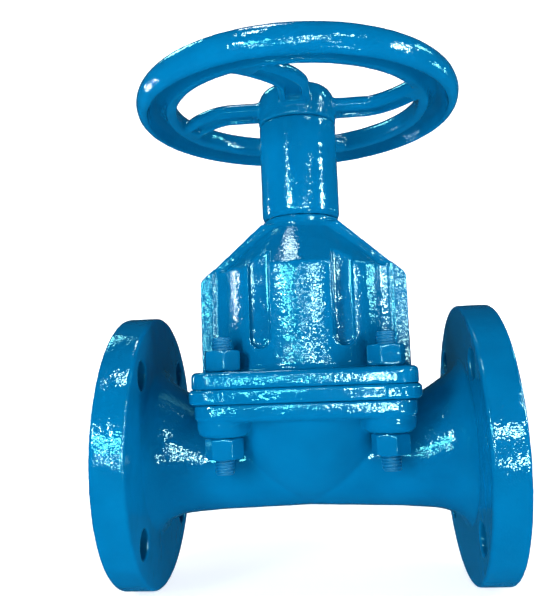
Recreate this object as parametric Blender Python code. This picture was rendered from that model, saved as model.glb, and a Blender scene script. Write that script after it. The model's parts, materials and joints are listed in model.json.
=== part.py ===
"""Weir-type diaphragm valve, DN 80 (3 in), flanged, with a spindle that rises inside a handwheel.

World frame, in metres: the origin is the centre of the inlet face, +X runs along the pipe to the
outlet, and +Z runs up the spindle. Every size below is in millimetres, and MM turns it into metres
where a mesh is made. Heights are above the pipe's axis. Each part is modelled about the valve
centre, where the pipe's axis meets the spindle's, and moved along the pipe by half the length.

The valve is drawn closed: the spindle is at its lowest and the diaphragm sits on the weir. Turning
the handwheel turns the drive bush, a nut held in the neck sleeve, and its left-hand thread lifts
the spindle, the compressor and the middle of the diaphragm. The spindle itself can't turn, because
the compressor's two fins run in slots inside the bonnet.
"""

from math import atan2, cos, pi, sin, sqrt

import bmesh
import bpy
from mathutils import Matrix, Vector

MM = 0.001

# Pipe ends: 3 in, class 150 drilling, with the face to face of a lined valve.
FACE_TO_FACE = 260.0
LINING = 3.0
LINING_PROUD = 1.0
FLANGE_OD = 190.5
FLANGE_THICK = 22.5
BOLT_CIRCLE = 152.4
BOLT_HOLE = 19.0
LINED_BORE = 70.0
FACE_LIP_OD = 127.0

# Clearances between separate parts.
GAP = 0.3
RUNNING = 0.35

# The joint between body and bonnet, where the diaphragm is clamped.
SEAT_Z = 34.0
RIM_THICK = 8.9
BONNET_Z = SEAT_Z + RIM_THICK + 2 * GAP
BONNET_FLANGE_TOP = 54.5
BODY_FLANGE_HALF = 71.0
RIM_HALF = 73.2
EAR_PROUD = 1.0
BONNET_FLANGE_HALF = 72.6
FLANGE_CORNER = 13.0
STUD_X = 53.5
STUD_Y = 52.0
STUD_R = 6.35
STUD_HOLE_R = 7.0
NUT_FLATS = 22.2
NUT_HEIGHT = 13.8
BOSS_R = 17.4
BOSS_Z = 12.6

# The diaphragm's bowl when closed, which is also the top of the lined weir.
BOWL_R = 55.0
BOWL_DEPTH = 32.0
DOME_THICK = 7.0

# Bonnet, neck sleeve and the drive inside them.
BARREL_R = 59.5
BARREL_TOP = 124.5
NECK_Z = 163.0
NECK_R = 28.3
WING_X = 72.0
WING_Y = 23.0
BAND = 9.5
BAND_Y = 24.0
BAND_PROUD = 0.3
SLANT_FOOT_X = 70.5
SLANT_HEAD_Z = 157.0
WING_TOP = 119.5
SLEEVE_R = 28.4
SLEEVE_TOP = 234.7
SPIGOT_R = 17.2
SPIGOT_Z = 141.0
SPINDLE_R = 8.0
BUSH_R = 11.6
DRIVE_POCKET_R = 20.0
DRIVE_POCKET_Z = 200.0
SPINDLE_TOP = 258.0
CAVITY_R = 39.5
SLOT_HALF = 7.5
SLOT_REACH = 60.0
SLOT_TOP = 112.0

# Handwheel.
WHEEL_OUTER = 118.5
WHEEL_INNER = 89.5
RIM_BOTTOM = 239.0
RIM_INNER_BOTTOM = 242.8
RIM_TOP = 261.0
SPOKES = 4
SPOKE_BOTTOM = 243.0
SPOKE_TOP = 253.0
HUB_BOTTOM = SLEEVE_TOP + 2 * GAP
HUB_TOP = 262.8

FINE, MEDIUM, COARSE = 40, 32, 16


# ---------------------------------------------------------------- materials

def material(name, colour, roughness, metallic):
    made = bpy.data.materials.new(name)
    made.use_nodes = True
    shader = made.node_tree.nodes["Principled BSDF"]
    shader.inputs["Base Color"].default_value = (*colour, 1.0)
    shader.inputs["Roughness"].default_value = roughness
    shader.inputs["Metallic"].default_value = metallic
    return made


# ---------------------------------------------------------------- mesh helpers

def clear_scene():
    for obj in list(bpy.data.objects):
        bpy.data.objects.remove(obj, do_unlink=True)


def to_object(name, mesh_maker, look=None, place=(0.0, 0.0, 0.0)):
    """An object at the valve centre plus place (mm), from a bmesh in millimetres about its own origin."""
    bmesh.ops.scale(mesh_maker, vec=(MM, MM, MM), verts=mesh_maker.verts)
    bmesh.ops.recalc_face_normals(mesh_maker, faces=mesh_maker.faces)
    mesh = bpy.data.meshes.new(name)
    mesh_maker.to_mesh(mesh)
    mesh_maker.free()
    obj = bpy.data.objects.new(name, mesh)
    obj.location = (Vector(place) + Vector((FACE_TO_FACE / 2, 0.0, 0.0))) * MM
    bpy.context.scene.collection.objects.link(obj)
    if look is None:
        obj.hide_render = True
        obj.display_type = "WIRE"
    else:
        mesh.materials.append(look)
        mesh.shade_smooth()
        mesh.set_sharp_from_angle(angle=pi / 6)
    return obj


def joined(rings, loop=False):
    """A bmesh through rings of points, each with as many points, or one where it shuts on an axis.

    With loop the last ring joins the first; otherwise each end ring is closed with a flat face.
    """
    made = bmesh.new()
    rows = [[made.verts.new(point) for point in ring] for ring in rings]
    pairs = list(zip(rows, rows[1:]))
    if loop:
        pairs.append((rows[-1], rows[0]))
    for low, high in pairs:
        count = max(len(low), len(high))
        for i in range(count):
            corners = [low[i % len(low)], low[(i + 1) % count % len(low)],
                       high[(i + 1) % count % len(high)], high[i % len(high)]]
            corners = [v for n, v in enumerate(corners) if v not in corners[:n]]
            if len(corners) > 2:
                made.faces.new(corners)
    if not loop:
        for ring in (rows[0], rows[-1]):
            if len(ring) > 2:
                made.faces.new(ring)
    return made


def revolved(outline, steps=MEDIUM):
    """A solid turned about Z from (radius, height) points; a closed outline leaves a bore."""
    rings = []
    for radius, height in outline:
        if radius == 0.0:
            rings.append([(0.0, 0.0, height)])
        else:
            turn = [2 * pi * k / steps for k in range(steps)]
            rings.append([(radius * cos(a), radius * sin(a), height) for a in turn])
    return joined(rings, loop=all(radius > 0.0 for radius, _ in outline))


def cylinder(radius, low, high, steps=COARSE):
    return revolved([(0.0, low), (radius, low), (radius, high), (0.0, high)], steps)


def ring_of(inner, outer, low, high, steps=MEDIUM, chamfer=0.0):
    c = chamfer
    outline = [(inner, low), (outer - c, low), (outer, low + c), (outer, high - c),
               (outer - c, high), (inner, high)]
    return revolved([p for n, p in enumerate(outline) if p not in outline[:n]], steps)


def rounded_square(half_x, half_y, corner, height, corner_steps=4):
    points = []
    for side in range(4):
        sign_x = 1 if side in (0, 3) else -1
        sign_y = 1 if side in (0, 1) else -1
        for k in range(corner_steps + 1):
            a = pi / 2 * (side + k / corner_steps)
            points.append((sign_x * (half_x - corner) + corner * cos(a),
                           sign_y * (half_y - corner) + corner * sin(a), height))
    return points


def slab(half_x, half_y, corner, low, high, edge_low=0.0, edge_high=0.0):
    """A rounded square plate, with its lower and upper edges broken by the given widths."""
    levels = [(low, edge_low), (low + edge_low, 0.0), (high - edge_high, 0.0), (high, edge_high)]
    levels = [p for n, p in enumerate(levels) if p not in levels[:n]]
    return joined([rounded_square(half_x - e, half_y - e, corner - e, z) for z, e in levels])


def box(low, high):
    made = bmesh.new()
    bmesh.ops.create_cube(made, size=1.0)
    middle = [(a + b) / 2 for a, b in zip(low, high)]
    size = [b - a for a, b in zip(low, high)]
    bmesh.ops.scale(made, vec=size, verts=made.verts)
    bmesh.ops.translate(made, vec=middle, verts=made.verts)
    return made


def prism(outline, low, high, up="Z"):
    """A flat outline of two-number points, drawn out between low and high along the up axis."""
    lift = {"Z": lambda u, v, w: (u, v, w), "Y": lambda u, v, w: (u, w, v)}[up]
    return joined([[lift(u, v, w) for u, v in outline] for w in (low, high)])


def moved(made, shift=(0.0, 0.0, 0.0), turn=0.0, tip=None):
    """The same bmesh, tipped from Z onto the axis named by tip, then turned about Z, then shifted."""
    if tip:
        axis, angle = {"X": ("Y", pi / 2), "Y": ("X", -pi / 2)}[tip]
        made.transform(Matrix.Rotation(angle, 4, axis))
    made.transform(Matrix.Translation(shift) @ Matrix.Rotation(turn, 4, "Z"))
    return made


def combine(target, operation, *makers):
    """Adds a Boolean for each bmesh to the target, which shares the makers' origin."""
    for number, maker in enumerate(makers):
        place = [c / MM for c in target.location]
        place[0] -= FACE_TO_FACE / 2
        tool = to_object(f"{target.name}_{operation.lower()}_{len(target.modifiers)}", maker, None, place)
        modifier = target.modifiers.new(f"{operation.lower()}_{number}", "BOOLEAN")
        modifier.operation = operation
        modifier.solver = "EXACT"
        modifier.object = tool
    return target


# ---------------------------------------------------------------- shared shapes

def smoothstep(t):
    t = min(max(t, 0.0), 1.0)
    return t * t * (3 - 2 * t)


def bowl_height(radius):
    """Height of the closed diaphragm's wet side, and of the weir under it."""
    return SEAT_Z - BOWL_DEPTH * (1 - smoothstep(radius / BOWL_R))


def bowl_radii(last, steps):
    return [last * k / steps for k in range(steps + 1)]


def bowl(drop, mouth_radius, top):
    """The diaphragm's bowl, sunk by drop, with a straight mouth up to top."""
    outline = [(r, bowl_height(r) - drop) for r in bowl_radii(BOWL_R, 6)]
    if mouth_radius > BOWL_R:
        outline.append((mouth_radius, SEAT_Z - drop))
    return revolved(outline + [(mouth_radius, top), (0.0, top)])


def oval(x, top, bottom, half_y, steps):
    middle, half_z = (top + bottom) / 2, (top - bottom) / 2
    turn = [2 * pi * k / steps for k in range(steps)]
    return [(x, half_y * cos(a), middle + half_z * sin(a)) for a in turn]


def passage(offset, side):
    """One arm of the waterway, from past the end flange to the weir; offset thickens it all round.

    Each section is (distance from the spindle, top, bottom, half width).
    """
    bore = LINED_BORE / 2
    sections = [(FACE_TO_FACE / 2 + 6.0, bore, -bore, bore), (96.0, bore, -bore, bore),
                (72.0, 23.5, -34.5, 34.0), (52.0, 20.0, -32.0, 33.0), (25.0, 16.0, -15.0, 30.0),
                (12.0, 12.0, -3.5, 26.0), (7.0 - offset, 8.5, 2.8, 20.0)]
    arm = joined([oval(side * x, top + offset, low - offset, half + offset, 24)
                  for x, top, low, half in sections])
    bmesh.ops.triangulate(arm, faces=arm.faces, quad_method="FIXED")
    return arm


# ---------------------------------------------------------------- body

def stud_places():
    return [(STUD_X, -STUD_Y), (-STUD_X, -STUD_Y), (-STUD_X, STUD_Y), (STUD_X, STUD_Y)]


def stud_holes(low, high):
    return [moved(cylinder(STUD_HOLE_R, low, high), (x, y, 0.0)) for x, y in stud_places()]


def body_shell():
    """End flanges and the necks between them; the necks dip under the bonnet joint."""
    outer = FACE_TO_FACE / 2 - LINING_PROUD
    back = outer - FLANGE_THICK
    rim = FLANGE_OD / 2
    chamfer = 1.0
    half = [(outer, rim - chamfer, rim - chamfer, rim - chamfer), (outer - chamfer, rim, rim, rim),
            (back + chamfer, rim, rim, rim), (back, rim - chamfer, rim - chamfer, rim - chamfer),
            (back, 60.0, 60.0, 60.0), (back - 4.0, 51.5, 51.5, 51.5), (back - 11.0, 46.0, 47.0, 47.0),
            (back - 21.0, 39.5, 44.4, 44.0), (back - 36.0, 30.0, 43.2, 41.0), (56.5, 28.0, 42.4, 39.6)]
    sections = half + [(0.0, 28.0, 40.6, 38.2)] + [(-x, a, b, c) for x, a, b, c in reversed(half)]
    return joined([oval(x, top, -low, side, MEDIUM) for x, top, low, side in sections])


def body_pocket():
    """The dish under the bonnet joint, which narrows down to the bottom of the pipe."""
    dish = [(0.0, -38.0), (20.0, -35.0), (30.0, -29.5), (40.0, -22.0), (50.0, -11.0), (59.0, 4.0),
            (64.0, 17.0), (66.0, 26.0), (0.0, 26.0)]
    return revolved(dish)


def body_boss(x, y):
    outline = [(0.0, BOSS_Z), (BOSS_R - 5.0, BOSS_Z), (BOSS_R - 1.8, BOSS_Z + 1.8),
               (BOSS_R, BOSS_Z + 6.0), (BOSS_R, SEAT_Z - 6.0), (0.0, SEAT_Z - 6.0)]
    return moved(revolved(outline, COARSE), (x, y, 0.0))


def make_body(look):
    body = to_object("body", body_shell(), look)
    joint = slab(BODY_FLANGE_HALF, BODY_FLANGE_HALF, FLANGE_CORNER, 22.6, SEAT_Z, edge_low=2.5, edge_high=0.6)
    combine(body, "UNION", body_pocket(), joint, *[body_boss(x, y) for x, y in stud_places()])
    combine(body, "DIFFERENCE", bowl(LINING, BOWL_R + LINING + GAP, SEAT_Z + 8.0),
            passage(LINING, 1), passage(LINING, -1), *stud_holes(0.0, SEAT_Z + 8.0))
    recess = FACE_TO_FACE / 2 - LINING
    combine(body, "DIFFERENCE",
            *[moved(cylinder(FACE_LIP_OD / 2 + GAP, -LINING, LINING, MEDIUM),
                    (side * (recess + LINING), 0.0, 0.0), tip="X") for side in (1, -1)])
    length = FACE_TO_FACE / 2 + 5.0
    reach = BOLT_CIRCLE / 2 / sqrt(2)
    combine(body, "DIFFERENCE",
            *[moved(cylinder(BOLT_HOLE / 2, -length, length), (0.0, y * reach, z * reach), tip="X")
              for y in (1, -1) for z in (1, -1)])
    return body


def make_lining(look):
    """The rubber lining of the whole waterway, with a lip over the middle of each end face."""
    skin = LINING - 1.5 * GAP
    lining = to_object("body_lining", bowl(skin, BOWL_R + skin, SEAT_Z - 0.05), look)
    half = FACE_TO_FACE / 2
    trims = [box((side * (half + 20.0) - 20.0, -60.0, -60.0), (side * (half + 20.0) + 20.0, 60.0, 60.0))
             for side in (1, -1)]
    combine(lining, "UNION", passage(skin, 1), passage(skin, -1))
    combine(lining, "DIFFERENCE", *trims)
    lips = [moved(cylinder(FACE_LIP_OD / 2, -skin / 2, skin / 2, MEDIUM),
                  (side * (half - skin / 2), 0.0, 0.0), tip="X") for side in (1, -1)]
    combine(lining, "UNION", *lips)
    combine(lining, "DIFFERENCE", bowl(0.0, BOWL_R, SEAT_Z + 8.0), passage(0.0, 1), passage(0.0, -1))
    return lining


# ---------------------------------------------------------------- diaphragm

def make_diaphragm_rim(look):
    """The clamped rubber flange, with a thicker ear at each bolted corner."""
    low = SEAT_Z + GAP
    rim = to_object("diaphragm_rim",
                    slab(RIM_HALF, RIM_HALF, FLANGE_CORNER, low, low + RIM_THICK, 0.8, 0.8), look)
    ear_half = RIM_HALF + EAR_PROUD
    ears = to_object("diaphragm_ears",
                     slab(ear_half, ear_half, FLANGE_CORNER + EAR_PROUD, low + 0.8, low + RIM_THICK - 1.6, 0.5, 0.5))
    inner, far = RIM_HALF - 21.5, RIM_HALF + 20.0
    combine(ears, "DIFFERENCE", box((-inner, -far, 0.0), (inner, far, 60.0)),
            box((-far, -inner, 0.0), (far, inner, 60.0)))
    union = rim.modifiers.new("ears", "BOOLEAN")
    union.operation = "UNION"
    union.solver = "EXACT"
    union.object = ears
    combine(rim, "DIFFERENCE", cylinder(BOWL_R + GAP, 0.0, 60.0, MEDIUM), *stud_holes(20.0, 60.0))
    return rim


def dome_under(radius):
    return bowl_height(radius) + RUNNING


def dome_over(radius):
    return dome_under(radius) + DOME_THICK


INSERT_HEAD_R = 9.0
INSERT_HEAD = 3.0
INSERT_R = 5.0


def make_diaphragm_dome(look):
    """The flexing middle of the diaphragm, pressed down on the weir, with a pocket for its insert."""
    edge = BOWL_R - 0.1
    pocket_r = INSERT_HEAD_R + GAP
    floor = dome_over(0.0) - INSERT_HEAD - GAP
    radii = bowl_radii(edge, 6)
    under = [(r, dome_under(r)) for r in radii]
    over = [(r, dome_over(r)) for r in reversed(radii) if r > pocket_r]
    pocket = [(pocket_r, dome_over(pocket_r)), (pocket_r, floor), (0.0, floor)]
    return to_object("diaphragm_dome", revolved(under + over + pocket), look)


def make_diaphragm_insert(look):
    """The threaded insert moulded into the diaphragm, by which the compressor pulls it up."""
    low = dome_over(0.0) - INSERT_HEAD
    outline = [(0.0, low), (INSERT_HEAD_R - 0.5, low), (INSERT_HEAD_R, low + 0.5),
               (INSERT_HEAD_R, low + INSERT_HEAD), (INSERT_R, low + INSERT_HEAD),
               (INSERT_R, low + 25.0), (INSERT_R - 1.0, low + 26.0), (0.0, low + 26.0)]
    return to_object("diaphragm_insert", revolved(outline, COARSE), look)


COMPRESSOR_R = 37.0
COMPRESSOR_BOSS_R = 14.0
COMPRESSOR_TOP = 62.0
SOCKET_FLOOR = 46.0
PIN_Z = 54.0
PIN_R = 3.0
FIN_HALF = 6.0
FIN_REACH = 58.0


def make_compressor(look):
    """Presses the diaphragm down and pulls it up; its two fins run in the bonnet's slots."""
    under = [(r, dome_over(r) + RUNNING) for r in bowl_radii(COMPRESSOR_R, 5)]
    over = [(COMPRESSOR_R, 40.0), (COMPRESSOR_R - 2.0, 42.0), (COMPRESSOR_BOSS_R + 3.0, 43.0),
            (COMPRESSOR_BOSS_R, 46.0), (COMPRESSOR_BOSS_R, COMPRESSOR_TOP - 1.0),
            (COMPRESSOR_BOSS_R - 1.0, COMPRESSOR_TOP), (0.0, COMPRESSOR_TOP)]
    compressor = to_object("compressor", revolved(under + over), look)
    fin_low, fin_top, disc = 46.2, 60.0, COMPRESSOR_R - 3.0
    fin = [(-FIN_REACH, fin_low), (-disc - 4.0, fin_low), (-disc, 40.0), (disc, 40.0),
           (disc + 4.0, fin_low), (FIN_REACH, fin_low), (FIN_REACH, fin_top), (-FIN_REACH, fin_top)]
    combine(compressor, "UNION", prism(fin, -FIN_HALF, FIN_HALF, up="Y"))
    combine(compressor, "DIFFERENCE",
            cylinder(SPINDLE_R + RUNNING, SOCKET_FLOOR, COMPRESSOR_TOP + 5.0),
            cylinder(INSERT_R + RUNNING, 0.0, 34.0),
            moved(cylinder(PIN_R + RUNNING, -20.0, 20.0), (0.0, 0.0, PIN_Z), tip="Y"))
    return compressor


def make_compressor_pin(look):
    length = COMPRESSOR_BOSS_R - 1.0
    outline = [(0.0, -length), (PIN_R - 0.4, -length), (PIN_R, 0.4 - length), (PIN_R, length - 0.4),
               (PIN_R - 0.4, length), (0.0, length)]
    return to_object("compressor_pin", moved(revolved(outline, COARSE), (0.0, 0.0, PIN_Z), tip="Y"), look)


# ---------------------------------------------------------------- bonnet and neck

def bonnet_barrel():
    outline = [(0.0, 50.0), (BARREL_R + 1.0, 50.0), (BARREL_R + 1.0, BONNET_FLANGE_TOP + 0.6),
               (BARREL_R, BONNET_FLANGE_TOP + 3.0), (BARREL_R, BARREL_TOP),
               (NECK_R + 2.0, SLANT_HEAD_Z - 3.0), (NECK_R, SLANT_HEAD_Z + 1.0),
               (NECK_R, NECK_Z - 1.5), (NECK_R - 1.5, NECK_Z), (0.0, NECK_Z)]
    return revolved(outline, FINE)


def slant_height(x):
    """Height of the wings' sloping top edge."""
    return SLANT_HEAD_Z - (x - NECK_R) * (SLANT_HEAD_Z - WING_TOP) / (SLANT_FOOT_X - NECK_R)


def bonnet_wings():
    """The flat wings across the barrel, along the pipe, and the thicker band down each outer edge."""
    low = BONNET_FLANGE_TOP - 4.0
    shoulder = [(WING_X, low), (WING_X, WING_TOP - 3.0), (SLANT_FOOT_X, WING_TOP)]
    peak = shoulder + [(NECK_R - 1.0, slant_height(NECK_R - 1.0))]
    outline = peak + [(-x, z) for x, z in reversed(peak)]
    inner, proud = WING_X - BAND, BAND_PROUD
    strip = [(x + proud, z + proud) for x, z in shoulder]
    strip = [(inner, low + proud)] + strip + [(inner, slant_height(inner) + 1.5 * proud)]
    bands = [prism([(side * x, z) for x, z in strip], -BAND_Y, BAND_Y, up="Y") for side in (1, -1)]
    return [prism(outline, -WING_Y, WING_Y, up="Y")] + bands


def bonnet_grooves():
    """Four upright grooves, two on the front and two on the back, with flat floors and round ends."""
    centre, half, low, floor = 27.75, 7.25, 69.0, 45.0
    arc = [pi + pi * k / 8 for k in range(9)]
    outline = [(half * cos(a), low + half + half * sin(a)) for a in arc] + [(half, 150.0), (-half, 150.0)]
    grooves = []
    for x in (centre, -centre):
        for near, far in ((-BARREL_R - 15.0, -floor), (floor, BARREL_R + 15.0)):
            grooves.append(prism([(u + x, v) for u, v in outline], near, far, up="Y"))
    return grooves


def make_bonnet(look):
    bonnet = to_object("bonnet", bonnet_barrel(), look)
    flange = slab(BONNET_FLANGE_HALF, BONNET_FLANGE_HALF, FLANGE_CORNER, BONNET_Z, BONNET_FLANGE_TOP, 0.6, 2.0)
    combine(bonnet, "UNION", flange, *bonnet_wings())
    combine(bonnet, "DIFFERENCE", *bonnet_grooves())
    cavity = [(0.0, 40.0), (BOWL_R + 1.0, 40.0), (BOWL_R + 1.0, 50.0), (CAVITY_R, 66.0),
              (CAVITY_R, SLOT_TOP), (SPIGOT_R + GAP, SLOT_TOP + CAVITY_R - SPIGOT_R - GAP),
              (SPIGOT_R + GAP, NECK_Z + 5.0), (0.0, NECK_Z + 5.0)]
    slot = box((-SLOT_REACH, -SLOT_HALF, 40.0), (SLOT_REACH, SLOT_HALF, SLOT_TOP))
    combine(bonnet, "DIFFERENCE", revolved(cavity), slot, *stud_holes(30.0, 80.0))
    return bonnet


def make_neck_sleeve(look):
    """Screwed into the bonnet's neck; it guides the spindle and holds the drive bush's collar."""
    outline = [(SPINDLE_R + 0.6, SPIGOT_Z + 5.0), (11.0, SPIGOT_Z + 5.0), (11.0, SPIGOT_Z),
               (SPIGOT_R, SPIGOT_Z), (SPIGOT_R, NECK_Z + 0.4), (SLEEVE_R - 1.8, NECK_Z + 0.4),
               (SLEEVE_R, NECK_Z + 4.0), (SLEEVE_R, SLEEVE_TOP - 0.8), (SLEEVE_R - 0.8, SLEEVE_TOP),
               (DRIVE_POCKET_R, SLEEVE_TOP), (DRIVE_POCKET_R, DRIVE_POCKET_Z),
               (BUSH_R + 0.4, DRIVE_POCKET_Z), (BUSH_R + 0.4, 184.0), (SPINDLE_R + 0.6, 184.0)]
    return to_object("neck_sleeve", revolved(outline), look)


def make_spindle_seal(look):
    """A rubber ring in the mouth of the sleeve's spigot, round the spindle."""
    return to_object("spindle_seal", ring_of(SPINDLE_R + RUNNING, 10.6, SPIGOT_Z + 0.4, SPIGOT_Z + 4.6,
                                             COARSE, 0.6), look)


# ---------------------------------------------------------------- drive

def make_spindle(look):
    outline = [(0.0, SOCKET_FLOOR + 0.4), (SPINDLE_R - 0.8, SOCKET_FLOOR + 0.4),
               (SPINDLE_R, SOCKET_FLOOR + 1.2), (SPINDLE_R, SPINDLE_TOP - 1.0),
               (SPINDLE_R - 1.0, SPINDLE_TOP), (0.0, SPINDLE_TOP)]
    spindle = to_object("spindle", revolved(outline, COARSE), look)
    combine(spindle, "DIFFERENCE", moved(cylinder(PIN_R + RUNNING, -20.0, 20.0), (0.0, 0.0, PIN_Z), tip="Y"))
    return spindle


COLLAR_Z = DRIVE_POCKET_Z + 3.3
COLLAR_TOP = COLLAR_Z + 7.7
KEY_HALF = 2.0
KEY_LOW = 239.0
KEY_HIGH = 249.0


def make_drive_bush(look):
    """The nut on the spindle's thread: a collar holds it up and down, and its top carries the wheel."""
    bore = SPINDLE_R + RUNNING
    outline = [(bore, 186.0), (BUSH_R - 0.6, 186.0), (BUSH_R, 186.6), (BUSH_R, COLLAR_Z),
               (DRIVE_POCKET_R - 0.5, COLLAR_Z), (DRIVE_POCKET_R - 0.5, COLLAR_TOP),
               (BUSH_R, COLLAR_TOP), (BUSH_R, SPINDLE_TOP + 0.4), (BUSH_R - 0.6, SPINDLE_TOP + 1.0),
               (bore, SPINDLE_TOP + 1.0)]
    bush = to_object("drive_bush", revolved(outline, COARSE), look)
    combine(bush, "DIFFERENCE", box((10.0, -KEY_HALF - GAP, KEY_LOW - GAP), (20.0, KEY_HALF + GAP, KEY_HIGH + GAP)))
    return bush


def make_drive_rings(steel, bronze, rubber):
    """What holds the bush's collar in the sleeve, from the bottom up."""
    inner, outer = BUSH_R + 0.4, DRIVE_POCKET_R - GAP
    washer = 2.7
    to_object("lower_thrust_washer", ring_of(inner, outer, COLLAR_Z - GAP - washer, COLLAR_Z - GAP, COARSE), bronze)
    low = COLLAR_TOP + GAP
    to_object("upper_thrust_washer", ring_of(inner, outer, low, low + washer, COARSE), bronze)
    low += washer + GAP
    retainer = to_object("bush_retainer", ring_of(inner, outer, low, low + 13.0, COARSE, 0.8), steel)
    slots = [moved(box((13.5, -2.0, low + 9.0), (18.0, 2.0, low + 20.0)), turn=pi / 2 * k) for k in range(4)]
    combine(retainer, "DIFFERENCE", *slots)
    low += 13.0 + GAP
    to_object("dust_seal", ring_of(inner, outer, low, SLEEVE_TOP - 0.5, COARSE, 0.8), rubber)


# ---------------------------------------------------------------- handwheel

def about_rim(section):
    """A closed section of (distance out from the middle of the rim, height), turned about the spindle."""
    middle = (WHEEL_OUTER + WHEEL_INNER) / 2
    return revolved([(middle + out, height) for out, height in section], 48)


def wheel_rim():
    """The rim before its underside is hollowed: the outer wall comes down lower than the inner one."""
    half = (WHEEL_OUTER - WHEEL_INNER) / 2
    low, lip, top = RIM_BOTTOM, RIM_INNER_BOTTOM, RIM_TOP
    outer = [(half - 7.2, low), (half - 4.2, low + 0.9), (half - 1.6, low + 3.4), (half - 0.3, low + 7.0),
             (half, low + 11.0), (half - 1.7, top - 5.5), (half - 6.3, top - 1.2)]
    inner = [(-half + 6.3, top - 1.4), (-half + 1.5, top - 5.0), (-half, top - 10.5),
             (-half + 0.3, lip + 1.8), (-half + 2.0, lip + 0.3), (-half + 4.5, lip)]
    return about_rim(outer + [(0.0, top)] + inner)


def rim_hollow():
    """The channel in the rim's underside, open at the bottom."""
    below = RIM_BOTTOM - 3.0
    return about_rim([(7.0, below), (6.8, RIM_BOTTOM + 3.0), (5.0, RIM_BOTTOM + 9.0), (0.0, RIM_TOP - 8.5),
                      (-5.0, RIM_BOTTOM + 10.0), (-7.0, RIM_BOTTOM + 5.0), (-7.4, below)])


def spoke_offset(radius):
    """How far the spoke's centre line has swung to the clockwise side of its radius, seen from above."""
    return 30.0 * max((radius - 50.0) / 37.0, 0.0) ** 1.8


def spoke_band(start, end, half_at, low, high, edge, turn, steps=8):
    """A band with broken edges along the curved centre line of one spoke."""
    rings = []
    for k in range(steps + 1):
        radius = start + (end - start) * k / steps
        ahead, behind = spoke_offset(radius + 0.5), spoke_offset(radius - 0.5)
        heading = atan2(behind - ahead, 1.0)
        half = half_at(radius)
        section = [(half - edge, low), (half, low + edge), (half, high - edge), (half - edge, high)]
        section = section + [(-u, z) for u, z in reversed(section)]
        rings.append([(radius - u * sin(heading), -spoke_offset(radius) + u * cos(heading), z)
                      for u, z in section])
    return moved(joined(rings), turn=turn)


def spoke_half(radius):
    return 11.4 - 1.6 * min(max((radius - 45.0) / 40.0, 0.0), 1.0)


def wheel_hub():
    outline = [(0.0, HUB_BOTTOM), (SLEEVE_R, HUB_BOTTOM), (SLEEVE_R + 0.4, HUB_BOTTOM + 3.0),
               (SLEEVE_R + 0.5, 249.0), (SLEEVE_R - 0.1, 254.0), (26.6, HUB_TOP - 4.5),
               (23.6, HUB_TOP - 1.4), (20.0, HUB_TOP), (0.0, HUB_TOP)]
    return revolved(outline)


def make_handwheel(look):
    wheel = to_object("handwheel", wheel_rim(), look)
    turns = [2 * pi * k / SPOKES for k in range(SPOKES)]
    combine(wheel, "UNION", wheel_hub(),
            *[spoke_band(18.0, 97.0, spoke_half, SPOKE_BOTTOM, SPOKE_TOP, 3.0, turn) for turn in turns])
    combine(wheel, "DIFFERENCE", rim_hollow(),
            *[spoke_band(33.0, 81.0, lambda r: spoke_half(r) - 5.5, SPOKE_BOTTOM - 4.0, SPOKE_BOTTOM + 4.5,
                         1.5, turn) for turn in turns])
    key_way = box((8.0, -KEY_HALF - GAP, HUB_BOTTOM - 3.0), (14.8 + GAP, KEY_HALF + GAP, KEY_HIGH + GAP))
    combine(wheel, "DIFFERENCE", cylinder(BUSH_R + 0.4, HUB_BOTTOM - 3.0, HUB_TOP + 3.0),
            cylinder(15.3, 250.3, HUB_TOP + 3.0), key_way)
    return wheel


def make_wheel_fasteners(steel):
    to_object("wheel_key", box((10.4, -KEY_HALF, KEY_LOW), (14.6, KEY_HALF, KEY_HIGH)), steel)
    inner, outer = BUSH_R + 0.4, 15.0
    to_object("wheel_washer", ring_of(inner, outer, 250.6, 252.2, COARSE), steel)
    nut = to_object("wheel_nut", ring_of(inner, outer, 252.5, HUB_TOP - 0.6, COARSE, 0.5), steel)
    slots = [moved(box((13.4, -1.8, 256.0), (18.0, 1.8, 270.0)), turn=pi / 2 * k + pi / 4) for k in range(4)]
    combine(nut, "DIFFERENCE", *slots)


# ---------------------------------------------------------------- joint fasteners

STUD_LOW = -11.5
STUD_HIGH = 77.0
UPPER_NUT_Z = BONNET_FLANGE_TOP + GAP
LOWER_NUT_Z = BOSS_Z - GAP - NUT_HEIGHT


def make_stud(name, place, look):
    c = 1.0
    outline = [(0.0, STUD_LOW), (STUD_R - c, STUD_LOW), (STUD_R, STUD_LOW + c),
               (STUD_R, STUD_HIGH - c), (STUD_R - c, STUD_HIGH), (0.0, STUD_HIGH)]
    return to_object(name, revolved(outline, COARSE), look, (*place, 0.0))


def make_nut(name, place, low, turn, look):
    """A hexagon nut whose corners are turned off top and bottom."""
    corner = NUT_FLATS / sqrt(3)
    hexagon = [(corner * cos(turn + pi / 3 * k), corner * sin(turn + pi / 3 * k)) for k in range(6)]
    nut = to_object(name, prism(hexagon, 0.0, NUT_HEIGHT), look, (*place, low))
    face, fall = NUT_FLATS / 2 - 0.3, 1.1
    barrel = revolved([(0.0, 0.0), (face, 0.0), (corner + 0.2, fall), (corner + 0.2, NUT_HEIGHT - fall),
                       (face, NUT_HEIGHT), (0.0, NUT_HEIGHT)], 12)
    combine(nut, "INTERSECT", moved(barrel, turn=turn))
    combine(nut, "DIFFERENCE", cylinder(STUD_R + RUNNING + 0.2, -3.0, NUT_HEIGHT + 3.0, 12))
    return nut


def make_fasteners(look):
    upper_turns = (0.17, 0.79, 0.9, 0.1)
    lower_turns = (0.75, 0.04, 0.7, 0.4)
    for number, place in enumerate(stud_places(), 1):
        make_stud(f"stud_{number}", place, look)
        make_nut(f"upper_nut_{number}", place, UPPER_NUT_Z, upper_turns[number - 1], look)
        make_nut(f"lower_nut_{number}", place, LOWER_NUT_Z, lower_turns[number - 1], look)


# ---------------------------------------------------------------- assembly

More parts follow.
